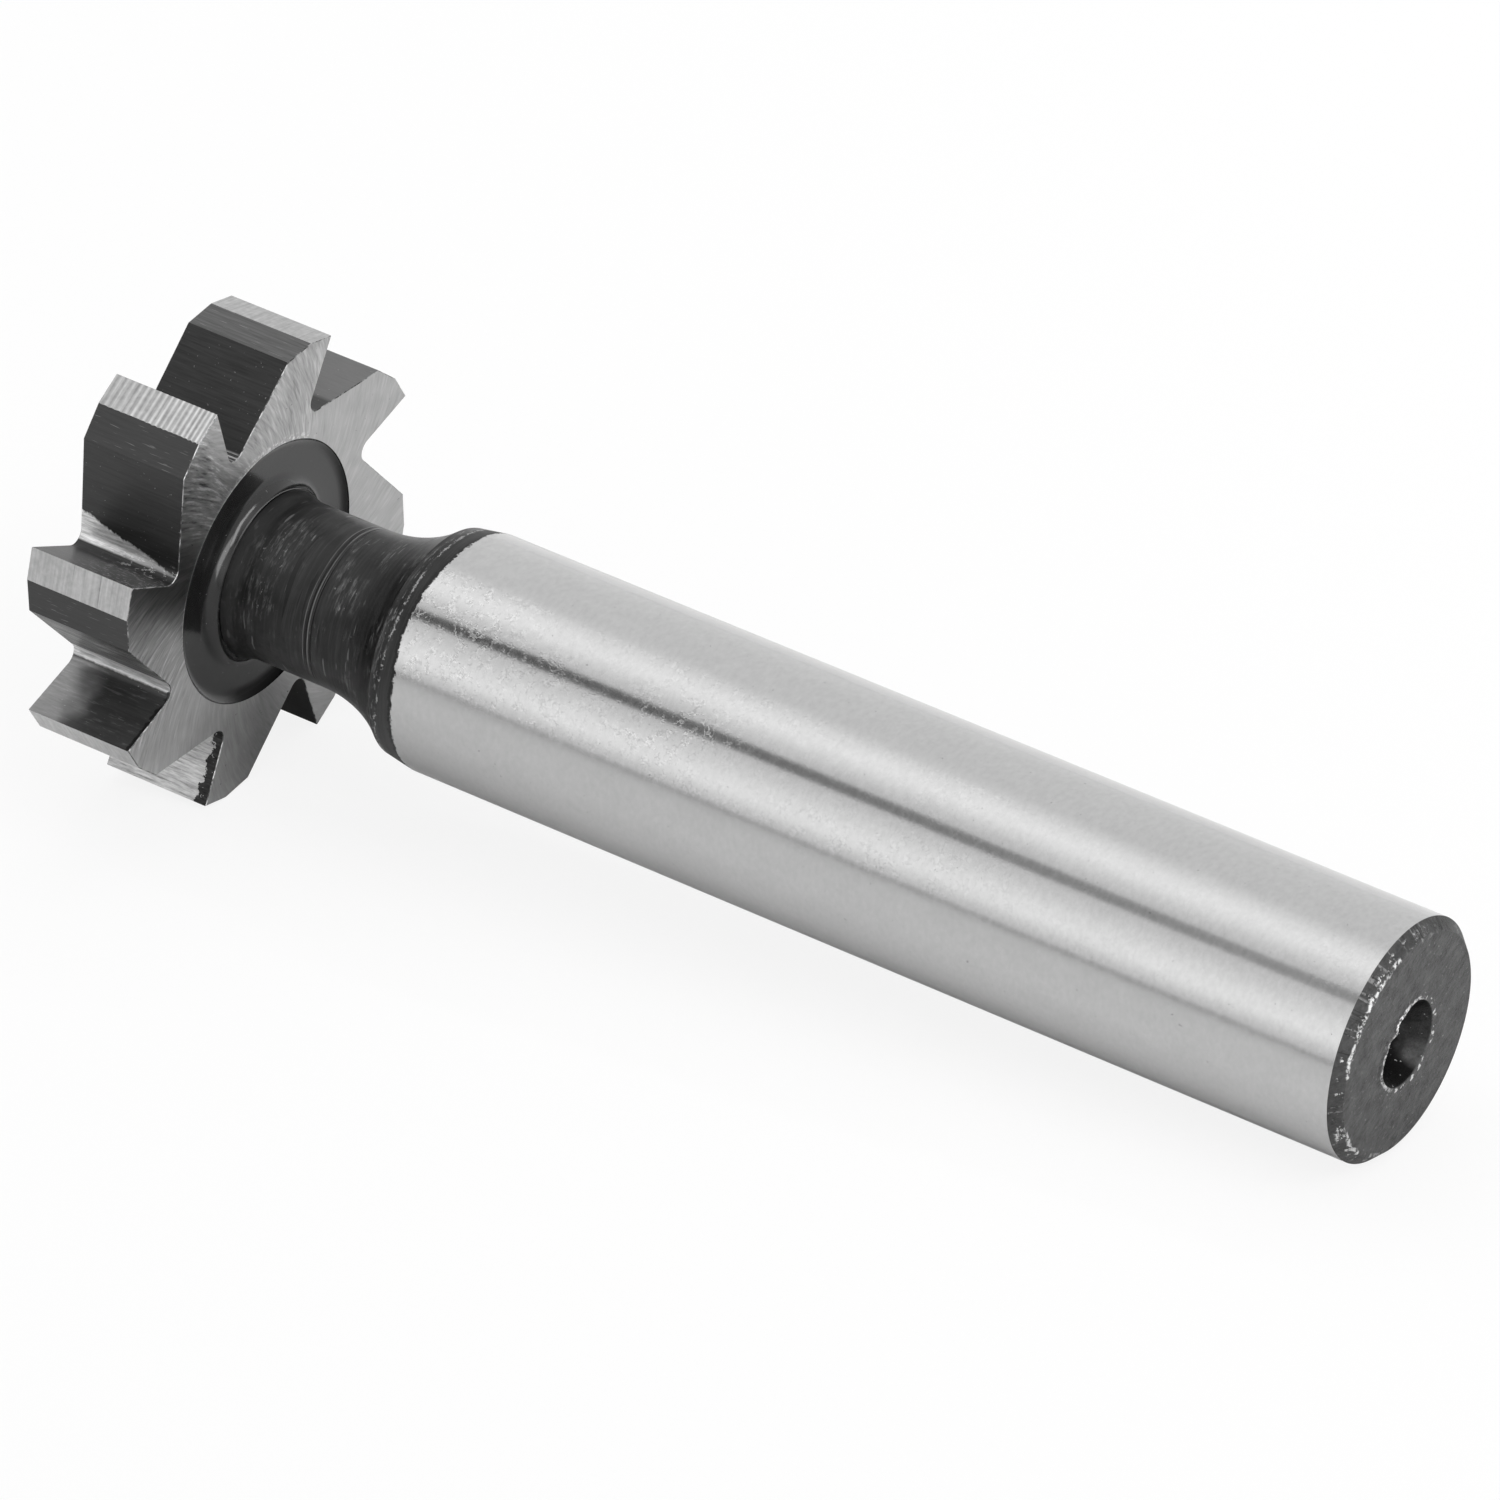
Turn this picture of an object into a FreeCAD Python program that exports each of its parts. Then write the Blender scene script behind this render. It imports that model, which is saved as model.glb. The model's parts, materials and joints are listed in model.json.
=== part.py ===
import FreeCAD, Part
import math
import os
import Sketcher

# T slot cutter: one bar of tool steel, turned, slotted into teeth and ground.
#
# It is drawn with the tool's axis along X: X is 0 at the outer corners of the
# teeth on the front of the head, and grows towards the end of the shank.
# The finished tool is then laid down the way it rests on a bench, on two
# neighbouring teeth and the edge of the shank's end.

NODE = "cutter"

# Driving dimensions: millimetres, degrees, and one count
SIZES = [
    ("overall_length", 57.8, "front of the teeth to the end of the shank"),
    ("head_diameter", 19.8, "across the cutting edges"),
    ("head_width", 4.9, "front corners to back corners of the teeth"),
    ("dish_angle", 1.3, "hollow of the head's side faces, so only the tooth corners rub"),
    ("blank_allowance", 0.3, "stock left on the turned head, which the tooth grinding takes off"),
    ("tooth_count", 8, "straight teeth, evenly spaced"),
    ("rake_angle", 2, "lean of the cutting face behind the radius"),
    ("land_width", 1.37, "narrow ground land behind the cutting edge"),
    ("land_relief", 10.7, "drop of the land from the tangent"),
    ("backoff_width", 1.33, "second relief behind the land"),
    ("backoff_relief", 28.8, "drop of the second relief from the tangent"),
    ("flank_drop", 66, "drop of the tooth's back from the tangent"),
    ("gullet_radius", 0.5, "round bottom of the chip gullet"),
    ("neck_diameter", 6.7, "relieved neck that follows the head through the slot"),
    ("neck_length", 9.5, "back of the head to the start of the full shank"),
    ("flare_radius", 6.2, "hollow curve from the neck out to the shank"),
    ("runout_length", 1.2, "narrow cone between the flare and the ground shank"),
    ("runout_drop", 0.2, "how far that cone's small end lies under the shank"),
    ("shank_diameter", 10, "plain straight shank"),
    ("shank_chamfer", 0.45, "bevel round the end of the shank"),
    ("recess_diameter", 11.16, "round recess in each side of the head"),
    ("recess_depth", 0.32, "floor of the recess under the tooth corners"),
    ("recess_corner", 0.12, "round corner between the recess wall and its floor"),
    ("neck_fillet", 0.62, "round corner between the recess floor and the neck"),
    ("neck_root", 7.08, "across the neck where that round corner ends"),
    ("root_taper", 0.85, "length of the cone from there down to the neck's own size"),
    ("centre_mouth", 3.6, "centre hole, across its mouth"),
    ("centre_pilot", 1.6, "centre hole, across its straight pilot"),
    ("centre_angle", 60, "full angle of the centre hole's cone"),
    ("pilot_depth", 3.9, "mouth to the end of the straight pilot"),
    ("drill_point", 118, "full angle of the drilled tip"),
]

doc = FreeCAD.newDocument("t_slot_cutter")
sheet = doc.addObject("Spreadsheet::Sheet", "Sizes")
for row, (alias, number, meaning) in enumerate(SIZES, start=1):
    sheet.set(f"A{row}", alias)
    sheet.set(f"B{row}", str(number))
    sheet.setAlias(f"B{row}", alias)
    sheet.set(f"C{row}", meaning)
doc.recompute()


def worked_out(formula):
    """The number that a formula on the sheet's names gives now."""
    result = sheet.evalExpression(formula)
    return float(getattr(result, "Value", result))


def in_sketch(formula):
    """The same formula as a sketch writes it, with each name taken from the sheet."""
    for alias in sorted((size[0] for size in SIZES), key=len, reverse=True):
        formula = formula.replace(alias, f"Sizes.{alias}")
    return formula


class Outline:
    """One sketch of the body: its lines and arcs, and the constraints that hold them."""

    ORIGIN = (-1, 1)
    ALONG = -1

    def __init__(self, body, name, plane_role):
        plane = next(feature for feature in body.Origin.OriginFeatures if feature.Role == plane_role)
        self.sketch = body.newObject("Sketcher::SketchObject", name)
        self.sketch.AttachmentSupport = [(plane, "")]
        self.sketch.MapMode = "FlatFace"

    def line(self, start, end, construction=False):
        corners = [FreeCAD.Vector(*point, 0) for point in (start, end)]
        return self.sketch.addGeometry(Part.LineSegment(*corners), construction)

    def arc(self, centre, radius, first_angle, last_angle):
        circle = Part.Circle(FreeCAD.Vector(*centre, 0), FreeCAD.Vector(0, 0, 1), radius)
        turns = math.radians(first_angle), math.radians(last_angle)
        return self.sketch.addGeometry(Part.ArcOfCircle(circle, *turns), False)

    def hold(self, kind, *places, number=()):
        """A constraint between places: a whole line, or a line with 1 or 2 for its start or end."""
        flat = [item for place in places for item in (place if isinstance(place, tuple) else (place,))]
        return self.sketch.addConstraint(Sketcher.Constraint(kind, *flat, *number))

    def size(self, kind, *places, to):
        """A constraint whose number is a formula on the sheet's names."""
        number = worked_out(to)
        if kind == "Angle":
            number = math.radians(number)
        index = self.hold(kind, *places, number=(number,))
        self.sketch.setExpression(f"Constraints[{index}]", in_sketch(to))

    def chain(self, *pieces):
        """Joins the end of each line to the start of the next."""
        for one, following in zip(pieces, pieces[1:]):
            self.hold("Coincident", (one, 2), (following, 1))


def turned_blank(body):
    """The whole turned form as one half profile, spun round the tool's axis."""
    outline = Outline(body, "BlankProfile", "XZ_Plane")

    length = worked_out("overall_length")
    blank = worked_out("head_diameter / 2 + blank_allowance")
    width = worked_out("head_width")
    lean = worked_out("tan(dish_angle * 1 deg)")
    edge = worked_out("head_diameter / 2")
    rim = worked_out("recess_diameter / 2")
    depth = worked_out("recess_depth")
    corner = worked_out("recess_corner")
    fillet = worked_out("neck_fillet")
    thick = worked_out("neck_root / 2")
    taper = worked_out("root_taper")
    neck = worked_out("neck_diameter / 2")
    shank = worked_out("shank_diameter / 2")
    chamfer = worked_out("shank_chamfer")
    shoulder = worked_out("head_width + neck_length")
    ridge = (worked_out("head_width + neck_length - runout_length"), worked_out("shank_diameter / 2 - runout_drop"))
    flare = worked_out("flare_radius")
    flare_start = ridge[0] - math.sqrt(flare ** 2 - (flare - (ridge[1] - neck)) ** 2)
    flare_turn = math.degrees(math.asin((ridge[0] - flare_start) / flare))
    front_rim = (lean * (edge - rim), rim)
    back_rim = (width - lean * (edge - rim), rim)
    floor = width - depth

    front_floor = outline.line((depth, 0), (depth, rim - corner))
    front_corner = outline.arc((depth - corner, rim - corner), corner, 0, 90)
    front_wall = outline.line((depth - corner, rim), front_rim)
    front_side = outline.line(front_rim, (lean * (edge - blank), blank))
    top = outline.line((lean * (edge - blank), blank), (width - lean * (edge - blank), blank))
    back_side = outline.line((width - lean * (edge - blank), blank), back_rim)
    back_wall = outline.line(back_rim, (floor + corner, rim))
    back_corner = outline.arc((floor + corner, rim - corner), corner, 90, 180)
    back_floor = outline.line((floor, rim - corner), (floor, thick + fillet))
    root = outline.arc((floor + fillet, thick + fillet), fillet, 180, 270)
    root_cone = outline.line((floor + fillet, thick), (floor + fillet + taper, neck))
    neck_line = outline.line((floor + fillet + taper, neck), (flare_start, neck))
    hollow = outline.arc((flare_start, neck + flare), flare, 270, 270 + flare_turn)
    runout = outline.line(ridge, (shoulder, shank))
    shank_line = outline.line((shoulder, shank), (length - chamfer, shank))
    bevel = outline.line((length - chamfer, shank), (length, shank - chamfer))
    end = outline.line((length, shank - chamfer), (length, 0))
    axis = outline.line((length, 0), (depth, 0))

    # Where a line runs smoothly into an arc, one tangent holds their meeting point too
    outline.hold("Tangent", (front_floor, 2), (front_corner, 1))
    outline.hold("Tangent", (front_corner, 2), (front_wall, 1))
    outline.chain(front_wall, front_side, top, back_side, back_wall)
    outline.hold("Tangent", (back_wall, 2), (back_corner, 1))
    outline.hold("Tangent", (back_corner, 2), (back_floor, 1))
    outline.hold("Tangent", (back_floor, 2), (root, 1))
    outline.hold("Vertical", (root, 3), (root, 2))
    outline.chain(root, root_cone, neck_line)
    outline.hold("Tangent", (neck_line, 2), (hollow, 1))
    outline.chain(hollow, runout, shank_line, bevel, end, axis, front_floor)

    for level in (front_wall, top, back_wall, neck_line, shank_line):
        outline.hold("Horizontal", level)
    for upright in (front_floor, back_floor, end):
        outline.hold("Vertical", upright)
    outline.hold("PointOnObject", (axis, 1), Outline.ALONG)
    outline.hold("PointOnObject", (axis, 2), Outline.ALONG)

    origin = Outline.ORIGIN
    outline.size("DistanceX", origin, (front_floor, 1), to="recess_depth")
    outline.size("Radius", front_corner, to="recess_corner")
    outline.size("DistanceY", origin, (front_wall, 2), to="recess_diameter / 2")
    rim_lean = "tan(dish_angle * 1 deg) * (head_diameter - recess_diameter) / 2"
    outline.size("DistanceX", origin, (front_wall, 2), to=rim_lean)
    outline.size("Angle", front_side, to="90 + dish_angle")
    outline.size("DistanceY", origin, (top, 1), to="head_diameter / 2 + blank_allowance")
    outline.size("Angle", back_side, to="-90 - dish_angle")
    outline.size("DistanceX", origin, (back_wall, 1), to=f"head_width - {rim_lean}")
    outline.size("DistanceY", origin, (back_wall, 1), to="recess_diameter / 2")
    outline.size("Radius", back_corner, to="recess_corner")
    outline.size("DistanceX", origin, (back_floor, 1), to="head_width - recess_depth")
    outline.size("Radius", root, to="neck_fillet")
    outline.size("DistanceY", origin, (root_cone, 1), to="neck_root / 2")
    outline.size("DistanceX", (root_cone, 1), (neck_line, 1), to="root_taper")
    outline.size("DistanceY", origin, (neck_line, 1), to="neck_diameter / 2")
    outline.size("Radius", hollow, to="flare_radius")
    outline.size("DistanceX", origin, (runout, 1), to="head_width + neck_length - runout_length")
    outline.size("DistanceY", origin, (runout, 1), to="shank_diameter / 2 - runout_drop")
    outline.size("DistanceX", origin, (runout, 2), to="head_width + neck_length")
    outline.size("DistanceY", origin, (runout, 2), to="shank_diameter / 2")
    outline.size("DistanceX", origin, (bevel, 2), to="overall_length")
    outline.size("DistanceX", (bevel, 1), (bevel, 2), to="shank_chamfer")
    outline.size("DistanceY", (bevel, 2), (bevel, 1), to="shank_chamfer")

    blank_solid = body.newObject("PartDesign::Revolution", "TurnedBlank")
    blank_solid.Profile = outline.sketch
    blank_solid.ReferenceAxis = (outline.sketch, ["H_Axis"])
    blank_solid.Angle = 360
    return blank_solid


def centre_hole(body, name, face, inwards):
    """A centre hole: a cone for the lathe centre, a straight pilot and a drilled tip."""
    outline = Outline(body, f"{name}Profile", "XZ_Plane")
    mouth = worked_out("centre_mouth / 2")
    pilot = worked_out("centre_pilot / 2")
    cone_depth = "(centre_mouth - centre_pilot) / 2 / tan(centre_angle / 2 * 1 deg)"
    tip_depth = "centre_pilot / 2 / tan(drill_point / 2 * 1 deg)"
    mouth_x = worked_out(face)
    cone_x = mouth_x + inwards * worked_out(cone_depth)
    pilot_x = mouth_x + inwards * worked_out("pilot_depth")
    tip_x = pilot_x + inwards * worked_out(tip_depth)

    opening = outline.line((mouth_x, 0), (mouth_x, mouth))
    cone = outline.line((mouth_x, mouth), (cone_x, pilot))
    straight = outline.line((cone_x, pilot), (pilot_x, pilot))
    tip = outline.line((pilot_x, pilot), (tip_x, 0))
    axis = outline.line((tip_x, 0), (mouth_x, 0))
    outline.chain(opening, cone, straight, tip, axis, opening)
    outline.hold("Vertical", opening)
    outline.hold("Horizontal", straight)
    outline.hold("PointOnObject", (axis, 1), Outline.ALONG)
    outline.hold("PointOnObject", (axis, 2), Outline.ALONG)

    origin = Outline.ORIGIN
    sign = "+" if inwards > 0 else "-"
    outline.size("DistanceX", origin, (opening, 1), to=face)
    outline.size("DistanceY", origin, (opening, 2), to="centre_mouth / 2")
    outline.size("DistanceX", origin, (cone, 2), to=f"{face} {sign} {cone_depth}")
    outline.size("DistanceY", origin, (cone, 2), to="centre_pilot / 2")
    outline.size("DistanceX", origin, (straight, 2), to=f"{face} {sign} pilot_depth")
    outline.size("DistanceX", origin, (tip, 2), to=f"{face} {sign} (pilot_depth + {tip_depth})")

    hole = body.newObject("PartDesign::Groove", name)
    hole.Profile = outline.sketch
    hole.ReferenceAxis = (outline.sketch, ["H_Axis"])
    hole.Angle = 360
    return hole


def tooth_gullet(body):
    """What the grinder takes away between one cutting edge and the next.

    The sketch looks along the axis. This tooth's cutting edge lies on its first
    axis. From there the cut follows the land, the second relief and the tooth's
    back down to the round bottom, and climbs the next tooth's cutting face.
    """
    outline = Outline(body, "GulletProfile", "YZ_Plane")
    edge = worked_out("head_diameter / 2")
    pitch = math.radians(worked_out("360 / tooth_count"))
    rake = pitch - math.radians(worked_out("rake_angle"))
    outside = worked_out("head_diameter / 2 + 2 * blank_allowance")
    bottom_radius = worked_out("gullet_radius")

    def beyond(point, angle, radius):
        """Where a ray from a point inside a circle round the axis leaves that circle."""
        along = point[0] * math.cos(angle) + point[1] * math.sin(angle)
        reach = math.sqrt(along ** 2 - point[0] ** 2 - point[1] ** 2 + radius ** 2) - along
        return point[0] + reach * math.cos(angle), point[1] + reach * math.sin(angle)

    def down_from(point, drop, rise):
        """The end of a face that drops from the tangent while it runs on by rise."""
        return point[0] - rise * math.tan(math.radians(drop)), point[1] + rise

    this_edge = (edge, 0.0)
    next_edge = (edge * math.cos(pitch), edge * math.sin(pitch))
    land_turn = math.radians(90 + worked_out("land_relief"))
    heel = down_from(this_edge, worked_out("land_relief"), worked_out("land_width"))
    shoulder = down_from(heel, worked_out("backoff_relief"), worked_out("backoff_width"))
    flank_turn = math.radians(90 + worked_out("flank_drop"))
    land_start = beyond(this_edge, land_turn - math.pi, outside)
    face_end = beyond(next_edge, rake, outside)

    # The round bottom touches the tooth's back and the next cutting face
    opening = rake + math.pi - flank_turn
    across = math.sin(flank_turn - rake)
    offset = (next_edge[0] - shoulder[0], next_edge[1] - shoulder[1])
    meet = (offset[0] * math.sin(rake) - offset[1] * math.cos(rake)) / -across
    corner = (shoulder[0] + meet * math.cos(flank_turn), shoulder[1] + meet * math.sin(flank_turn))
    touch = bottom_radius / math.tan(opening / 2)
    flank_end = (corner[0] - touch * math.cos(flank_turn), corner[1] - touch * math.sin(flank_turn))
    face_start = (corner[0] + touch * math.cos(rake), corner[1] + touch * math.sin(rake))
    centre = (face_start[0] + bottom_radius * math.sin(rake), face_start[1] - bottom_radius * math.cos(rake))

    land = outline.line(land_start, heel)
    backoff = outline.line(heel, shoulder)
    flank = outline.line(shoulder, flank_end)
    bottom = outline.arc(centre, bottom_radius, math.degrees(rake) + 90, math.degrees(flank_turn) + 90)
    face = outline.line(face_start, face_end)
    first = math.degrees(math.atan2(land_start[1], land_start[0]))
    last = math.degrees(math.atan2(face_end[1], face_end[0]))
    clear = outline.arc((0, 0), outside, first, last)
    edge_radius = outline.line((0, 0), this_edge, construction=True)
    next_radius = outline.line((0, 0), next_edge, construction=True)

    outline.chain(land, backoff, flank)
    outline.hold("Tangent", (flank, 2), (bottom, 2))
    outline.hold("Tangent", (bottom, 1), (face, 1))
    outline.hold("Coincident", (face, 2), (clear, 2))
    outline.hold("Coincident", (clear, 1), (land, 1))
    outline.hold("Coincident", (clear, 3), Outline.ORIGIN)
    for radius_line in (edge_radius, next_radius):
        outline.hold("Coincident", (radius_line, 1), Outline.ORIGIN)
    outline.hold("Horizontal", edge_radius)
    outline.hold("PointOnObject", (edge_radius, 2), land)
    outline.hold("PointOnObject", (next_radius, 2), face)

    outline.size("Distance", edge_radius, to="head_diameter / 2")
    outline.size("Distance", next_radius, to="head_diameter / 2")
    outline.size("Angle", next_radius, to="360 / tooth_count")
    outline.size("Angle", face, to="360 / tooth_count - rake_angle")
    outline.size("Angle", land, to="90 + land_relief")
    outline.size("DistanceY", Outline.ORIGIN, (land, 2), to="land_width")
    outline.size("Angle", backoff, to="90 + backoff_relief")
    outline.size("DistanceY", (backoff, 1), (backoff, 2), to="backoff_width")
    outline.size("Angle", flank, to="90 + flank_drop")
    outline.size("Radius", bottom, to="gullet_radius")
    outline.size("Radius", clear, to="head_diameter / 2 + 2 * blank_allowance")

    gullet = body.newObject("PartDesign::Pocket", "ToothGullet")
    gullet.Profile = outline.sketch
    gullet.Type = "ThroughAll"
    gullet.SideType = "Symmetric"
    return gullet


def ring_of_teeth(body, gullet):
    """The same cut, repeated round the tool's axis."""
    axis = next(feature for feature in body.Origin.OriginFeatures if feature.Role == "X_Axis")
    teeth = body.newObject("PartDesign::PolarPattern", "Teeth")
    teeth.Originals = [gullet]
    teeth.Axis = (axis, [""])
    teeth.Angle = 360
    teeth.setExpression("Occurrences", "Sizes.tooth_count")
    body.Tip = teeth
    return teeth


def resting_pose(solid):
    """How the tool lies on a bench: turned about its axis and tilted down to the shank.

    It rests on the heel of one tooth's land, on the next tooth's cutting edge
    and on the edge of the shank's end, the three points that reach lowest.
    """
    edge = worked_out("head_diameter / 2")
    heel_out = edge - worked_out("land_width * tan(land_relief * 1 deg)")
    heel = math.hypot(heel_out, worked_out("land_width"))
    heel_angle = math.atan2(worked_out("land_width"), heel_out)
    gap = math.radians(worked_out("360 / tooth_count")) - heel_angle
    turn = math.atan2(edge - heel * math.cos(gap), heel * math.sin(gap))
    head_support = edge * math.cos(turn)
    rise = head_support - worked_out("shank_diameter / 2")
    run = worked_out("overall_length - shank_chamfer - head_width")
    roll = FreeCAD.Rotation(FreeCAD.Vector(1, 0, 0), 270 + math.degrees(turn))
    tilt = FreeCAD.Rotation(FreeCAD.Vector(0, 1, 0), math.degrees(math.atan2(rise, run)))
    turned = FreeCAD.Placement(FreeCAD.Vector(0, 0, 0), tilt.multiply(roll))

    laid = solid.copy()
    laid.Placement = turned
    box = laid.optimalBoundingBox(False)
    middle = FreeCAD.Vector((box.XMin + box.XMax) / 2, (box.YMin + box.YMax) / 2, box.ZMin)
    return FreeCAD.Placement(middle.negative(), turned.Rotation)


def volume_now(feature, before=None):
    """The body's volume after a feature, which a cut has to make smaller."""
    doc.recompute()
    volume = feature.Shape.Volume
    print(f"{feature.Label}: {volume:.1f} cubic mm")
    if before is not None and volume >= before:
        raise RuntimeError(f"{feature.Label} took nothing away")
    return volume


body = doc.addObject("PartDesign::Body", "Cutter")
body.Label = NODE
volume = volume_now(turned_blank(body))
volume = volume_now(centre_hole(body, "ShankCentre", "overall_length", -1), volume)
volume = volume_now(centre_hole(body, "HeadCentre", "recess_depth", 1), volume)
gullet = tooth_gullet(body)
volume = volume_now(gullet, volume)
volume = volume_now(ring_of_teeth(body, gullet), volume)
body.Placement = resting_pose(body.Shape)
doc.recompute()

faults = [item.Label for item in doc.Objects if "Invalid" in item.State or "Error" in item.State]
if faults:
    raise RuntimeError("failed to build: " + ", ".join(faults))
if body.Shape.isNull() or not body.Shape.isValid() or len(body.Shape.Solids) != 1:
    raise RuntimeError(f"{body.Label} is not one sound solid")

os.makedirs("parts", exist_ok=True)
body.Shape.exportStep(f"parts/{body.Label}.step")
box = body.Shape.optimalBoundingBox(False)
print(f"{body.Label}: {box.XLength:.2f} x {box.YLength:.2f} x {box.ZLength:.2f} mm")
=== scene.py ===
# %% [markdown]
# # A slot cutter on a pale bench
# This lesson dresses one small milling cutter for its picture: a disc head with
# eight teeth, a thin neck blackened by its heat treatment, and a ground shank.
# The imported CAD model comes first, because every size and place follows it.

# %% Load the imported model
import json
import math

import bmesh
import bpy
from mathutils import Matrix, Vector

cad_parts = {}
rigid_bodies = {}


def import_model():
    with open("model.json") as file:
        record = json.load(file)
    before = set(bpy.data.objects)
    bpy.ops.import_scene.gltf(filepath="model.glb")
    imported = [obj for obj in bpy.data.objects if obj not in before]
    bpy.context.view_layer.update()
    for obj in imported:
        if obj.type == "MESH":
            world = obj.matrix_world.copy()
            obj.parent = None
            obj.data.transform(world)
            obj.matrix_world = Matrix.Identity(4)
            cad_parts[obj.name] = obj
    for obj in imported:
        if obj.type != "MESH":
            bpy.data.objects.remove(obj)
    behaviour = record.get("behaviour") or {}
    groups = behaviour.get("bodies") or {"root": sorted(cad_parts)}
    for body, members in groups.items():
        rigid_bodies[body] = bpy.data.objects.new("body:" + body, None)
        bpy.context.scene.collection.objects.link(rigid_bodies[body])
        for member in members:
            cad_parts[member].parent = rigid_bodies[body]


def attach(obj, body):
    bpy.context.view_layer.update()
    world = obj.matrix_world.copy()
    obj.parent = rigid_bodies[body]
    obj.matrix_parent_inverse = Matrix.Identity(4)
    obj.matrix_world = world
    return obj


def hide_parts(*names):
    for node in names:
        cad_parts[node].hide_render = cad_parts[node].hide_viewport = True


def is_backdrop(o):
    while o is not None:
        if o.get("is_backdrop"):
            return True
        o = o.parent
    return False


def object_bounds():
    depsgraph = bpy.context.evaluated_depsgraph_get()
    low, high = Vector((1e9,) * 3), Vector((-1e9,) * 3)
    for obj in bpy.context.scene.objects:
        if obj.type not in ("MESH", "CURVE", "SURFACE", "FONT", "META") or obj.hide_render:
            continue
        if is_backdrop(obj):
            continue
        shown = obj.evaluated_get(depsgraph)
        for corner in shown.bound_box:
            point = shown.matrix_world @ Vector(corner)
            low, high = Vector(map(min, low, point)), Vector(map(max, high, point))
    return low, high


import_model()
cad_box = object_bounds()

MM = 0.001

# %% [markdown]
# ## The camera
# The picture was taken with a long lens, so the cutter hardly narrows with
# distance. A heading, a drop below the horizon and a small roll place it. They
# could be set as one Euler angle, but three turns in a row are easier to check.

# %% The camera
heading, drop, roll = 35.794, 32.736, -2.962
camera_place = Vector((229.289, -318.996, 261.239)) * MM


def turned(angle, axis):
    return Matrix.Rotation(math.radians(angle), 4, axis)


bpy.ops.object.select_all(action="DESELECT")
bpy.ops.object.camera_add()
camera = bpy.context.object
camera.name = "camera"
camera.matrix_world = (
    Matrix.Translation(camera_place)
    @ turned(heading, "Z")
    @ turned(90 - drop, "X")
    @ turned(roll, "Z")
)
camera.data.lens = 290.392
camera.data.sensor_width = 36
camera.data.clip_start = 0.01
camera.data.clip_end = 50
bpy.context.scene.camera = camera
bpy.context.scene.view_settings.view_transform = "Standard"
print("camera looks along", [round(v, 4) for v in -camera.matrix_world.col[2].xyz])

# %% [markdown]
# ## Sums on sockets
# A material is a small calculation. This class wraps one socket, so that
# ordinary sums written in Python add the Math nodes, and one method adds any
# other node. It could all be wired by hand, but a sum is easier to read.


# %% A socket that can be used in sums
class Wire:
    """A socket of a node tree. Sums on wires add Math nodes."""

    def __init__(self, tree, socket=None):
        self.tree, self.socket = tree, socket

    def node(self, kind, settings=None, values=None, out=0):
        """Adds a node. Wires among the values are linked, and other values are set."""
        made = self.tree.nodes.new(kind)
        for name, value in (settings or {}).items():
            setattr(made, name, value)
        for key, value in (values or {}).items():
            if isinstance(value, Wire):
                self.tree.links.new(value.socket, made.inputs[key])
            else:
                made.inputs[key].default_value = value
        return Wire(self.tree, made.outputs[out] if made.outputs else None)

    def maths(self, operation, first, second=0.0):
        """Adds one Math node."""
        return self.node(
            "ShaderNodeMath", {"operation": operation}, {0: first, 1: second}
        )

    def __abs__(self):
        return self.maths("ABSOLUTE", self)

    def __add__(self, other):
        return self.maths("ADD", self, other)

    def __sub__(self, other):
        return self.maths("SUBTRACT", self, other)

    def __rsub__(self, other):
        return self.maths("SUBTRACT", other, self)

    def __mul__(self, other):
        return self.maths("MULTIPLY", self, other)

    def __pow__(self, other):
        return self.maths("POWER", self, other)

    __radd__ = __add__
    __rmul__ = __mul__

    def high(self, other):
        return self.maths("MAXIMUM", self, other)

    def low(self, other):
        return self.maths("MINIMUM", self, other)

    def rise(self, start, end):
        """0 below start and 1 above end, with a soft step between them."""
        return self.node(
            "ShaderNodeMapRange",
            {"interpolation_type": "SMOOTHSTEP"},
            {"Value": self, "From Min": start, "From Max": end},
        )

    def within(self, start, end, soft):
        """1 between start and end, and 0 outside, with soft sides."""
        return self.rise(start - soft, start + soft) * (
            1 - self.rise(end - soft, end + soft)
        )


def new_tree(owner):
    """An empty node tree for a world or a material."""
    owner.use_nodes = True
    owner.node_tree.nodes.clear()
    return Wire(owner.node_tree)


def rays(pen_):
    """Two masks: 1 on rays from the camera, and 1 on rays from a mirror or through glass."""
    from_camera = pen_.node("ShaderNodeLightPath", out="Is Camera Ray")
    masks = from_camera.socket.node.outputs
    mirrored, through = (
        Wire(pen_.tree, masks[name]) for name in ("Is Glossy Ray", "Is Transmission Ray")
    )
    return from_camera, mirrored.high(through)


# %% [markdown]
# ## The white surroundings
# The picture has a plain white ground. A backdrop could be modelled, but a world
# colour does the same: the camera and the mirrors see pure white, and what falls
# on the cutter is weaker, so that its shadows stay.

# %% The white surroundings
room_level = 0.55
world = bpy.data.worlds.new("white_room")
bpy.context.scene.world = world
pen = new_tree(world)
seen, mirrored = rays(pen)
strength = room_level + (1 - room_level) * seen.high(mirrored)
glow = pen.node("ShaderNodeBackground", values={"Color": (1, 1, 1, 1), "Strength": strength})
pen.node("ShaderNodeOutputWorld", values={"Surface": glow})
print("room level", room_level)

# %% [markdown]
# ## The bench top
# The cutter lies on a white sheet. A diffuse plane alone would look grey, so the
# camera sees most of it as glowing white. The rest of it stays diffuse, and that
# part keeps the soft shadow under the cutter.

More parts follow.
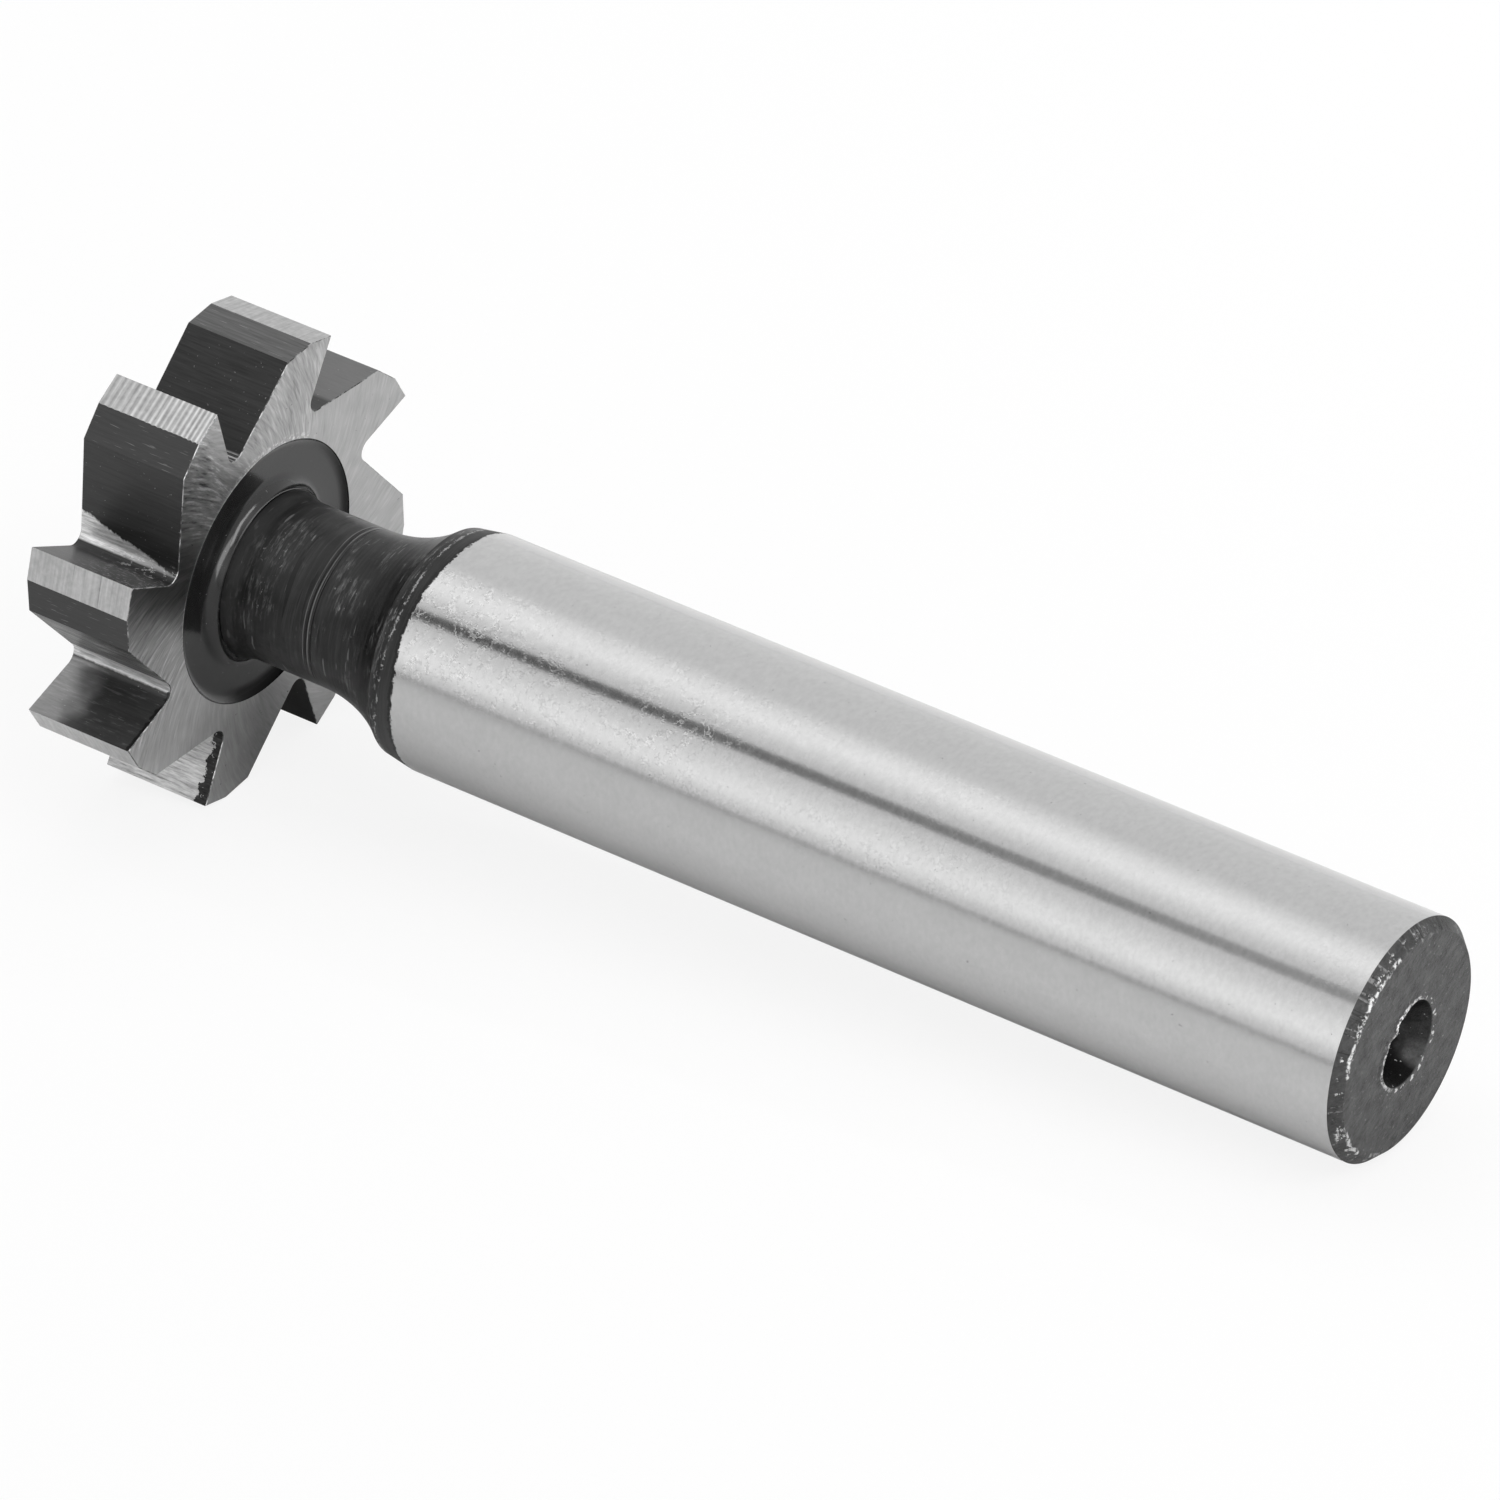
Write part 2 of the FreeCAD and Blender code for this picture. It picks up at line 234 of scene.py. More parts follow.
# %% The bench top
white_to_camera, white_to_mirrors = 0.86, 0.03
bpy.ops.object.select_all(action="DESELECT")
bpy.ops.mesh.primitive_plane_add(size=6)
bench = bpy.context.object
bench.name = "bench_top"
bench_white = bpy.data.materials.new("bench_white")
pen = new_tree(bench_white)
seen, mirrored = rays(pen)
matt = pen.node("ShaderNodeBsdfDiffuse", values={"Color": (0.85, 0.85, 0.85, 1)})
white = pen.node("ShaderNodeEmission", values={"Color": (1, 1, 1, 1), "Strength": 1.0})
share = white_to_camera * seen + white_to_mirrors * mirrored
surface = pen.node("ShaderNodeMixShader", values={0: share, 1: matt, 2: white})
pen.node("ShaderNodeOutputMaterial", values={"Surface": surface})
bench.data.materials.append(bench_white)
bench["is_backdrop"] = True
print("bench top", [round(v, 3) for v in bench.dimensions])

# %% [markdown]
# ## The light
# A polished rod shows its whole surroundings as bands along its length, so the
# light is what makes the shank. Two long soft boxes, one high and one in front,
# give the two bright bands. Two narrow flags, a black one between them and a grey
# one low down, give the dark lines. Three small cards to the right draw the arc
# in the recess. Lamps could do it all, but a mirror shows the shape of a card,
# and a card's glow can change across it. The one lamp only softens the shadow.


# %% Cards that glow or darken
def aimed(angle, distance, along):
    """A place beside the shank, angle degrees above the front horizon, turned to face it."""
    a = math.radians(angle)
    place = Vector((along, -math.cos(a) * distance, math.sin(a) * distance))
    return Matrix.Translation(place) @ turned(90 - angle, "X")


def card(name, angle, distance, along, length, width):
    """A flat card that faces the shank. The camera doesn't see it."""
    bpy.ops.object.select_all(action="DESELECT")
    bpy.ops.mesh.primitive_plane_add(size=1)
    made = bpy.context.object
    made.name = name
    made.scale = (length, width, 1)
    bpy.ops.object.transform_apply(location=False, rotation=False, scale=True)
    made.matrix_world = aimed(angle, distance, along)
    made.visible_camera = False
    made.data.materials.append(bpy.data.materials.new(name))
    made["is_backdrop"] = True
    return made, new_tree(made.data.materials[0])


def soft_box(name, angle, distance, along, length, width, crest, peak):
    """A card that glows: white at its long edges, and peak times that where v is crest."""
    box, pen_ = card(name, angle, distance, along, length, width)
    uv = pen_.node("ShaderNodeTexCoord", out="UV")
    v = pen_.node("ShaderNodeSeparateXYZ", values={0: uv}, out="Y")
    hump = v.rise(0.0, crest) * (1 - v.rise(crest, 1.0))
    light = pen_.node("ShaderNodeEmission", values={"Strength": 1 + (peak - 1) * hump})
    pen_.node("ShaderNodeOutputMaterial", values={"Surface": light})
    return box


def flag(name, angle, distance, along, length, width, shade, fade=0.0):
    """A card that only mirrors see. It pales by fade a metre from its middle to the right."""
    palest = 0.36
    made, pen_ = card(name, angle, distance, along, length, width)
    uv = pen_.node("ShaderNodeTexCoord", out="UV")
    u = pen_.node("ShaderNodeSeparateXYZ", values={0: uv}, out="X")
    paler = ((u - 0.5) * (length * fade)).high(0.0).low(palest)
    dull = pen_.node("ShaderNodeEmission", values={"Strength": shade + paler})
    pen_.node("ShaderNodeOutputMaterial", values={"Surface": dull})
    made.visible_diffuse = False
    made.visible_shadow = False
    return made


def key_light(name, azimuth, height, distance, length, width, strength):
    """A small bright card to one side. Azimuth 0 is the front and 90 the right."""
    made, pen_ = card(name, 0, 1, 0, length, width)
    made.matrix_world = (
        turned(azimuth, "Z") @ turned(90 - height, "X") @ Matrix.Translation((0, 0, distance))
    )
    light = pen_.node("ShaderNodeEmission", values={"Strength": strength})
    pen_.node("ShaderNodeOutputMaterial", values={"Surface": light})
    return made


# %% [markdown]
# ## Where each card goes
# The cards could be dragged into place by eye, but a band lies where the rod
# mirrors its card. So each card's angle round the shank follows from the place
# of its band, and one number moves it.

# %% Set up the light
soft_box(
    "high_box", angle=93.5, distance=0.40, along=-0.17, length=1.2, width=0.373,
    crest=0.44, peak=1.50,
)
front_box = soft_box(
    "front_box", angle=30.5, distance=0.45, along=-0.19, length=1.2, width=0.40,
    crest=0.34, peak=1.44,
)
key_light(
    "key_light", azimuth=70, height=48, distance=0.40, length=0.28, width=0.10, strength=7.0
)
tall_light = key_light(
    "tall_light", azimuth=57, height=12, distance=0.40, length=0.20, width=0.40, strength=5.0
)
side_light = key_light(
    "side_light", azimuth=104, height=51, distance=0.40, length=0.19, width=0.08, strength=7.0
)
for mirrored_only in (front_box, tall_light, side_light):
    mirrored_only.visible_diffuse = False
flag(
    "black_flag", angle=60.7, distance=0.30, along=-0.18, length=0.5, width=0.050,
    shade=0.10, fade=4.0,
)
flag("grey_flag", angle=2.2, distance=0.40, along=-0.19, length=0.8, width=0.036, shade=0.60)

bpy.ops.object.select_all(action="DESELECT")
bpy.ops.object.light_add(type="AREA", location=(0, 0.12, 0.6))
room_lamp = bpy.context.object
room_lamp.name = "room_lamp"
room_lamp.data.size = 0.5
room_lamp.data.energy = 6.0
room_lamp.visible_camera = False
room_lamp.visible_glossy = False
print("two soft boxes, three small cards, two flags and a lamp")

# %% [markdown]
# ## Where the cutter lies
# The cutter is modelled along its own axis, in millimetres, as a maker would
# turn it in a lathe, and laid on the bench at the end. It rests on the heel of
# one tooth, the edge of the next and the far end of its shank.

# %% The cutter's own axis
head_on_bench = Vector((-28.607939, 0, 9.680543))
tip_down, roll_about = 4.698165, 289.872
laid_down = (
    Matrix.Translation(head_on_bench * MM)
    @ turned(tip_down, "Y")
    @ turned(roll_about, "X")
    @ Matrix.Scale(MM, 4)
)
print("head's centre", [round(v, 5) for v in laid_down.translation])


def spot(radius, angle, x=0.0):
    """A point by its distance from the axis, its angle about it in degrees, and its x."""
    a = math.radians(angle)
    return Vector((x, radius * math.cos(a), radius * math.sin(a)))


def bow(centre, radius, start, end, steps):
    """Points along an arc about centre, in the flat that the outline is drawn in."""
    u, v = centre
    turn = [math.radians(start + (end - start) * k / steps) for k in range(steps + 1)]
    return [(u + radius * math.cos(t), v + radius * math.sin(t)) for t in turn]


# %% [markdown]
# ## Drawing and picking
# An outline starts as one vertex, pulled along point by point with extrude. A
# curve object could be used instead, but then its points can't be picked by
# place, which is how every later step finds its faces and edges.


# %% Drawing and picking in edit mode
def draw(points):
    """Pulls one vertex along the points, and leaves the whole line selected."""
    bpy.ops.mesh.select_mode(type="VERT")
    bpy.ops.mesh.select_all(action="DESELECT")
    bpy.ops.mesh.primitive_plane_add(size=1)
    bpy.ops.mesh.merge(type="CENTER")
    bpy.ops.transform.translate(value=points[0])
    here = points[0]
    for point in points[1:]:
        bpy.ops.mesh.extrude_region_move(TRANSFORM_OT_translate={"value": point - here})
        here = point
    bpy.ops.mesh.select_linked()


def pick(kind, test):
    """Selects only the faces, edges or verts that pass the test, and says how many."""
    bpy.ops.mesh.select_mode(type=kind)
    bpy.ops.mesh.select_all(action="DESELECT")
    mesh = bmesh.from_edit_mesh(bpy.context.object.data)
    parts = {"VERT": mesh.verts, "EDGE": mesh.edges, "FACE": mesh.faces}[kind]
    found = [part for part in parts if test(part)]
    for part in found:
        part.select_set(True)
    bmesh.update_edit_mesh(bpy.context.object.data)
    return len(found)


def new_mesh(name):
    """An empty mesh object in edit mode."""
    bpy.ops.object.select_all(action="DESELECT")
    bpy.ops.mesh.primitive_plane_add(size=1)
    made = bpy.context.object
    made.name = name
    bpy.ops.object.mode_set(mode="EDIT")
    bpy.ops.mesh.select_all(action="SELECT")
    bpy.ops.mesh.delete(type="VERT")
    return made


# %% [markdown]
# ## One tooth
# The eight teeth are alike, so one is modelled and copied. Its outline runs from
# the bottom of one gullet to the next: up the face that cuts, over the ground
# land and the second relief, down the flank and into the next gullet.

# %% The tooth's sizes
teeth, head_width, tip_radius = 8, 4.9, 9.9
rake, dish = 2.0, 1.3
land_width, land_slope = 1.37, 10.7
relief_width, relief_slope = 1.33, 28.8
flank_way, gullet_bend, rim_radius = 156.0, 0.5, 5.58
pitch = 360 / teeth
rim_steps = 24

edge = Vector((tip_radius, 0))
heel = edge + Vector((-land_width * math.tan(math.radians(land_slope)), land_width))
shoulder = heel + Vector(
    (-relief_width * math.tan(math.radians(relief_slope)), relief_width)
)


def way(angle):
    return Vector((math.cos(math.radians(angle)), math.sin(math.radians(angle))))


# The gullet's bend touches the flank and the next tooth's face, so its centre
# is one bend radius from both.
out_of_flank = way(flank_way - 90)
out_of_face = way(pitch - rake - 90)
next_edge = tip_radius * way(pitch)
reach = Vector(
    (shoulder.dot(out_of_flank) + gullet_bend, next_edge.dot(out_of_face) + gullet_bend)
)
both = Matrix((out_of_flank, out_of_face))
bend_centre = both.inverted() @ reach
gullet_angle = math.degrees(math.atan2(bend_centre.y, bend_centre.x))
gullet_radius = bend_centre.length - gullet_bend
print("gullet", round(gullet_radius, 3), "mm at", round(gullet_angle, 2), "deg")

# %% [markdown]
# ## The tooth's outline
# The outline is drawn flat and pulled out along the axis. A Boolean could cut the
# gullets out of a disc, but an outline gives every land and bend a clean face of
# its own, and a finish can be set on that.

# %% The tooth's outline
flank_end = flank_way - 90 + 180
face_end = pitch - rake - 90 + 180
bottom = gullet_angle + 180
into_bend = bow(bend_centre, gullet_bend, flank_end, bottom, 3)
out_of_bend = bow(bend_centre, gullet_bend, bottom, face_end, 8)
back_one = Matrix.Rotation(math.radians(-pitch), 2)
outline = [back_one @ Vector(point) for point in out_of_bend]
outline += [edge, heel, shoulder, *[Vector(point) for point in into_bend]]
outline = [Vector((0, point.x, point.y)) for point in outline]
rim = [
    spot(rim_radius, gullet_angle - pitch * k / rim_steps) for k in range(rim_steps + 1)
]
tooth = new_mesh("tooth")
draw([*outline, *rim, outline[0]])
bpy.ops.mesh.remove_doubles(threshold=0.001)
bpy.ops.mesh.edge_face_add()
bpy.ops.mesh.extrude_region_move(TRANSFORM_OT_translate={"value": (head_width, 0, 0)})
print("tooth faces", len(bmesh.from_edit_mesh(tooth.data).faces))

# %% [markdown]
# ## The tooth's edges
# A real edge is never quite sharp, and its thin bevel catches the light. The
# Bevel tool makes one on every outer edge. The sides that will touch the next
# tooth and the turned body are deleted first, so that no wall stays inside.


# %% Open the tooth's inner sides, and break its outer edges
def radius_of(point):
    return math.hypot(point.y, point.z)


def angle_of(point):
    return math.degrees(math.atan2(point.z, point.y))


def is_inner_side(face):
    if abs(face.normal.x) > 0.5:
        return False
    return all(radius_of(v.co) < gullet_radius + 0.001 for v in face.verts)


bpy.ops.mesh.select_all(action="SELECT")
bpy.ops.mesh.normals_make_consistent(inside=False)
print("inner sides", pick("FACE", is_inner_side))
bpy.ops.mesh.delete(type="FACE")

broken_edge = 0.028


def is_outer_edge(edge_):
    a, b = edge_.verts
    return len(edge_.link_faces) == 2 and abs(a.co.x - b.co.x) < 0.001


print("outer edges", pick("EDGE", is_outer_edge))
bpy.ops.mesh.bevel(
    offset=broken_edge, offset_type="OFFSET", segments=1, affect="EDGES", clamp_overlap=False
)

# %% [markdown]
# ## The dish
# The head's sides are ground a little hollow, so that only the teeth's corners
# rub in the slot. A flat face can't be hollow, so the tooth is sliced like a
# cake first, and then every vertex sinks by its distance from the tip.

# %% Slice the tooth, and dish its two sides
slice_every = 2
for k in range(slice_every, rim_steps, slice_every):
    turn = gullet_angle - pitch * k / rim_steps
    bpy.ops.mesh.select_all(action="SELECT")
    bpy.ops.mesh.bisect(plane_co=(0, 0, 0), plane_no=spot(1, turn + 90))
mesh = bmesh.from_edit_mesh(tooth.data)
for v in mesh.verts:
    sunk = math.tan(math.radians(dish)) * (tip_radius - radius_of(v.co))
    v.co.x += sunk * (1 - 2 * v.co.x / head_width)
bmesh.update_edit_mesh(tooth.data)
print("sliced tooth faces", len(mesh.faces))
bpy.ops.object.mode_set(mode="OBJECT")

# %% [markdown]
# ## Grooves
# A worn wheel ground some lands, and it left grooves across them: deep on one
# tooth and faint on the next. A bump in the material could draw them, but real
# cuts also notch the line behind the land.


# %% Grooves across a land
relief_floor, relief_turn = 8.9, 17.5


def is_land_or_relief(face):
    middle = face.calc_center_median()
    return radius_of(middle) > relief_floor and 0.01 < angle_of(middle) < relief_turn


groove_count, crowding = 18, 0.25


def crowded(share_):
    """How far along the land a share of its grooves reaches. They crowd at the back."""
    return share_ * (1 + crowding * (1 - share_))


def groove(piece, deep):
    """Cuts the land and the relief into strips along x, and sinks every second line."""
    strips, same, relief_drop = 2 * groove_count, 0.01, 0.34
    bpy.context.view_layer.objects.active = piece
    bpy.ops.object.mode_set(mode="EDIT")
    for k in range(1, strips):
        pick("FACE", is_land_or_relief)
        bpy.ops.mesh.bisect(
            plane_co=(head_width * crowded(k / strips), 0, 0), plane_no=(1, 0, 0)
        )
    mesh_ = bmesh.from_edit_mesh(piece.data)
    for v in mesh_.verts:
        k = min(range(1, strips), key=lambda n: abs(crowded(n / strips) - v.co.x / head_width))
        off_line = abs(crowded(k / strips) - v.co.x / head_width)
        if off_line > 0.0005 or k % 2 == 0:
            continue
        flat = Vector((v.co.y, v.co.z))
        uneven_ = 0.65 + 0.35 * math.sin(k * 12.9898)
        depth = deep * uneven_ * (0.35 + 0.65 * k / strips)
        on_land = flat.y < heel.y - same and flat.x > 9.6
        if abs(flat.y - heel.y) < same:
            # The heel slides down the relief, which drops by about a third of its way.
            along = (shoulder - heel).normalized() * depth / relief_drop
            v.co.y += along.x
            v.co.z += along.y
        elif on_land or (flat - edge).length < same:
            v.co.y -= depth
    bmesh.update_edit_mesh(piece.data)
    bpy.ops.object.mode_set(mode="OBJECT")


# %% [markdown]
# ## The ring of teeth
# The head is one disc with eight teeth. An Array modifier could repeat them, but
# each copy gets a mesh of its own here, because two of them are grooved.

# %% Copy the tooth round the head
groove_depth = {4: 0.020, 5: 0.005}
ring = []
for number in range(teeth):
    bpy.ops.object.select_all(action="DESELECT")
    tooth.select_set(True)
    bpy.context.view_layer.objects.active = tooth
    bpy.ops.object.duplicate()
    copy = bpy.context.object
    if number in groove_depth:
        groove(copy, groove_depth[number])
    copy.rotation_euler.x = math.radians(pitch * number)
    bpy.ops.object.transform_apply(location=True, rotation=True, scale=True)
    ring.append(copy)
bpy.data.objects.remove(tooth)
print("teeth", len(ring))

# %% [markdown]
# ## The turned body
# Everything else is turned: the centre holes, the sunk middle of the head, the
# neck with its long flare, and the shank. Two half outlines are spun about the
# axis, one in front of the teeth and one behind, and both end on the teeth's rim.
# One outline from end to end would leave a wall inside the teeth.

# %% The half outlines
sunk_rim = math.tan(math.radians(dish)) * (tip_radius - rim_radius)
pilot, hole_mouth = 0.8, 1.8
front_floor, front_corner = 0.32, 0.12
back_floor, back_corner, bowl, steep = 4.58, 0.10, 0.50, 48
root, neck_foot, neck_radius = 0.62, 3.54, 3.35
flare, flare_from, flare_top = 6.2, 9.2, 4.8
shank_from, shank_radius, shank_end = 14.4, 5.0, 57.8
bevel_from, bevel_radius = 57.35, 4.55

front_half = [(4.70, 0), (4.22, pilot), (2.052, pilot), (front_floor, hole_mouth)]
front_turn = (front_floor - front_corner, rim_radius - front_corner)
front_half += bow(front_turn, front_corner, 0, 90, 8)
front_half += [(sunk_rim, rim_radius)]
back_half = [(head_width - sunk_rim, rim_radius)]
# The bowl's arc and the corner's touch where both lean by the steep angle.
lean_cos, lean_sin = math.cos(math.radians(steep)), math.sin(math.radians(steep))
bowl_centre = (back_floor + bowl, rim_radius - back_corner * (1 - lean_sin) - bowl * lean_sin)
corner_centre = (bowl_centre[0] - (bowl - back_corner) * lean_cos, rim_radius - back_corner)
back_half += bow(corner_centre, back_corner, 90, 180 - steep, 5)
back_half += bow(bowl_centre, bowl, 180 - steep, 180, 8)[1:]
back_half += bow((back_floor + root, neck_foot + root), root, 180, 264, 12)
back_half += [(5.30, 3.50), (5.45, 3.45), (5.60, 3.40), (5.80, 3.36), (6.05, neck_radius)]
flare_end = math.degrees(math.acos(1 - (flare_top - neck_radius) / flare))
back_half += bow((flare_from, neck_radius + flare), flare, -90, -90 + flare_end, 12)
print("flare ends at", [round(v, 3) for v in back_half[-1]])
back_half += [(shank_from, shank_radius), (bevel_from, shank_radius)]
back_half += [(shank_end, bevel_radius), (shank_end, hole_mouth)]
back_half += [(56.068, pilot), (53.9, pilot), (53.42, 0)]

# %% [markdown]
# ## Spinning
# A turned thing is an outline swept round its axis, which is what Spin does. A
# Screw modifier does the same, but the next steps need real vertices. The steps
# match the teeth's slices, so that the rims meet point by point.

# %% Spin them
body = new_mesh("slot_cutter")
spin_steps = teeth * rim_steps
for half in (front_half, back_half):
    draw([spot(radius, gullet_angle, x) for x, radius in half])
    bpy.ops.mesh.spin(
        steps=spin_steps, angle=math.tau, center=(0, 0, 0), axis=(1, 0, 0)
    )
bpy.ops.mesh.select_all(action="SELECT")
bpy.ops.mesh.remove_doubles(threshold=0.002)
bpy.ops.object.mode_set(mode="OBJECT")
print("turned faces", len(body.data.polygons))

# %% [markdown]
# ## The torn mouth
# The centre hole in the sawn end is broken on one side. It could be sculpted by
# hand, but two dents, each given by its depth and its place round the axis, do
# the same, and the material of the sawn end can use their numbers again.

# %% Tear the mouth of the far hole
# Each dent is its depth in mm, its start and end counted in teeth, and its softness.
dents = ((0.28, 3.5, 5.5, 0.5), (0.30, 4.3, 4.65, 0.2))


def swell(value, start, end, soft):
    """1 between start and end, and 0 outside, with soft sides."""
    up_, down_ = ((value - side + soft) / (2 * soft) for side in (start, end))
    up_, down_ = (min(max(t, 0), 1) for t in (up_, down_))
    return up_ * up_ * (3 - 2 * up_) * (1 - down_ * down_ * (3 - 2 * down_))


pulled = 0
for v in body.data.vertices:
    if abs(v.co.x - shank_end) < 0.01 and radius_of(v.co) < hole_mouth + 0.01:
        turn = angle_of(v.co) % 360 / pitch
        drawn_in = sum(deep * swell(turn, *where) for deep, *where in dents)
        v.co.yz *= 1 - drawn_in / hole_mouth
        pulled += drawn_in > 0
print("mouth points drawn in", pulled)

# %% [markdown]
# ## One body
# The real cutter is one bar. A Boolean could unite the pieces, but their edges
# were drawn to meet point by point, so joining and merging is enough, and it
# leaves clean faces. The count of open edges must be nought.

# %% Join the teeth to it
bpy.ops.object.select_all(action="DESELECT")
for piece in [*ring, body]:
    piece.select_set(True)
bpy.context.view_layer.objects.active = body
bpy.ops.object.join()
bpy.ops.object.mode_set(mode="EDIT")
bpy.ops.mesh.select_all(action="SELECT")
bpy.ops.mesh.remove_doubles(threshold=0.002)
bpy.ops.mesh.select_all(action="SELECT")
bpy.ops.mesh.normals_make_consistent(inside=False)
print("open edges", pick("EDGE", lambda e: len(e.link_faces) != 2))

# %% [markdown]
# ## The recess's rim
# The edge between the ground side and the recess shows as a thin line. A pale
# ring in the material would do from afar, but a bevel catches the light by
# itself. It can only be made once the teeth and the turned body are one mesh.


# %% Break the rim's edge
def is_rim_edge(edge_):
    close = 0.003
    return all(
        abs(radius_of(v.co) - rim_radius) < close
        and min(abs(v.co.x - sunk_rim), abs(v.co.x - head_width + sunk_rim)) < close
        for v in edge_.verts
    )


print("rim edges", pick("EDGE", is_rim_edge))
broken_rim = 0.03
bpy.ops.mesh.bevel(
    offset=broken_rim, offset_type="OFFSET", segments=2, affect="EDGES", clamp_overlap=False
)
bpy.ops.object.mode_set(mode="OBJECT")
body.data.validate()
print("cutter faces", len(body.data.polygons))

# %% [markdown]
# ## Which finish goes where
# One bar of steel carries eight finishes. The wheel brightened the shank, the
# head's sides and the lands, and the relief is a greyer cut. The black skin of
# the heat treatment is left everywhere else. The faces could be painted by hand,
# but they are sorted by their place and slope, as a maker would by looking.

# %% Sort the faces
finishes = [
    "skin_and_shank", "glossy_recess", "sawn_end", "ground_side",
    "ground_land", "grey_relief", "black_gullet", "worn_edge",
]
neck_from, far_hole_from = 5.13, 53
lands_beyond, reliefs_beyond = 8.95, 8.85
hole_within = bevel_radius - 0.05


def finish_of(face):
    """The finish's name, from the face's place and normal in the cutter's own millimetres."""
    place, slope = face.center, face.normal
    far = radius_of(place)
    if place.x > bevel_from + 0.01 or (place.x > far_hole_from and far < hole_within):
        return "sawn_end"
    if place.x > neck_from and far < shank_radius + 0.2:
        return "skin_and_shank"
    # The recess's walls lie on the rim's radius, and its flat sides stop short of it.
    if far < rim_radius + (0.02 if abs(slope.x) < 0.8 else -0.02):
        return "glossy_recess"
    if abs(slope.x) > 0.9:
        return "ground_side"
    if abs(slope.x) > 0.3:
        return "worn_edge"
    # The rest is turned back to the first tooth, where its tilt tells what it is.
    home = Matrix.Rotation(math.radians(-round((angle_of(place) - 12) / pitch) * pitch), 2)
    lean = home @ Vector((slope.y, slope.z))
    tilt, slack = math.degrees(math.atan2(lean.y, lean.x)), 9
    if far > lands_beyond and abs(tilt - land_slope) < slack:
        return "ground_land"
    if far > reliefs_beyond and abs(tilt - relief_slope) < slack:
        return "grey_relief"
    return "black_gullet"


for name in finishes:
    body.data.materials.append(bpy.data.materials.new(name))
tally = dict.fromkeys(finishes, 0)
for face in body.data.polygons:
    name = finish_of(face)
    face.material_index = finishes.index(name)
    tally[name] += 1
print(tally)

# %% [markdown]
# ## On the bench
# The cutter so far lies along the x axis at a thousand times its size. It could
# be modelled lying down, but every step is easier along a straight axis. One
# matrix shrinks it and lays it down, and applying it leaves the object unturned.
# Then it stands in for the CAD model's own solid.

# %% Lay the cutter on the bench
bpy.ops.object.select_all(action="DESELECT")
body.select_set(True)
bpy.context.view_layer.objects.active = body
body.matrix_world = laid_down
bpy.ops.object.transform_apply(location=True, rotation=True, scale=True)
bpy.ops.object.shade_smooth_by_angle(angle=math.radians(15))
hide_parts("cutter")
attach(body, "root")
print("cutter box", [round(v * 1000, 2) for v in body.dimensions])

# %% [markdown]
# ## The cutter's own measures in a material
# Every finish follows how the cutter was made, so it is drawn in the cutter's
# own millimetres. Unwrapping the mesh could place it too, but seams would show.
# A Mapping node takes the resting place away again, and the distance from the
# axis and the turn about it come from the same vector.


# %% Measures on the cutter
class Place:
    """Where a point is on the cutter, in mm.

    own is the vector, x goes along the axis, far is the distance from it, and
    tooth is the turn about it, counted in teeth.
    """

    def __init__(self, pen):
        bench_place = pen.node("ShaderNodeTexCoord", out="Object")
        self.own = pen.node(
            "ShaderNodeMapping",
            {"vector_type": "TEXTURE"},
            {
                "Vector": bench_place,
                "Location": head_on_bench * MM,
                "Rotation": (math.radians(roll_about), math.radians(tip_down), 0),
                "Scale": (MM, MM, MM),
            },
        )
        split = pen.node("ShaderNodeSeparateXYZ", values={0: self.own}).socket.node
        self.x, y, z = (Wire(pen.tree, split.outputs[k]) for k in range(3))
        self.far = (y * y + z * z) ** 0.5
        turn = pen.maths("ARCTAN2", z, y) * (teeth / math.tau)
        self.tooth = pen.maths("FLOORED_MODULO", turn, teeth)
        self.pen = pen

    def noise(self, scale, detail=2.0, rough=0.5, shift=0.0, vector=None):
        """Noise from 0 to 1. Scale is waves a millimetre, one number or three for x, y, z."""
        vector = vector or self.own
        scale = scale if isinstance(scale, tuple) else (scale,) * 3
        scaled = self.pen.node(
            "ShaderNodeVectorMath",
            {"operation": "MULTIPLY_ADD"},
            {0: vector, 1: scale, 2: (shift, shift, shift)},
        )
        values = {"Vector": scaled, "Scale": 1.0, "Detail": detail, "Roughness": rough}
        return self.pen.node("ShaderNodeTexNoise", values=values)

    def vein(self, scale, shift):
        """Thin crooked lines, 1 on the line, about 1/scale mm apart."""
        off = abs(self.noise(scale, 2, 0.6, shift) - 0.5)
        return 1 - off.rise(0.02, 0.06)

    def spokes(self, lean):
        """A vector for lines that run out from the axis, bending by lean radians a mm."""
        flat = self.pen.node(
            "ShaderNodeVectorMath", {"operation": "MULTIPLY"}, {0: self.own, 1: (0, 1, 1)}
        )
        rim_ = self.pen.node("ShaderNodeVectorMath", {"operation": "NORMALIZE"}, {0: flat})
        swept = self.pen.node(
            "ShaderNodeVectorRotate",
            {"rotation_type": "X_AXIS"},
            {"Vector": rim_, "Angle": self.far * lean},
        )
        out = self.pen.node("ShaderNodeCombineXYZ", values={0: self.far * 0.1})
        return self.pen.node("ShaderNodeVectorMath", {"operation": "ADD"}, {0: swept, 1: out})

    def near_tooth(self, start, end, soft=0.02):
        """1 between two turns about the axis, counted in teeth."""
        return self.tooth.within(start, end, soft)


def draw_finish(name):
    """Clears a finish, and returns a wire to draw with and the place on the cutter."""
    pen_ = new_tree(bpy.data.materials[name])
    print("finish", name)
    return pen_, Place(pen_)


def set_finish(pen_, height, **values):
    """Ends a finish with one shader. The height is in mm."""
    normal = pen_.node("ShaderNodeBump", values={"Distance": MM, "Height": height})
    values = {key.replace("_", " "): value for key, value in values.items()}
    shader = pen_.node("ShaderNodeBsdfPrincipled", values={"Normal": normal, **values})
    pen_.node("ShaderNodeOutputMaterial", values={"Surface": shader})


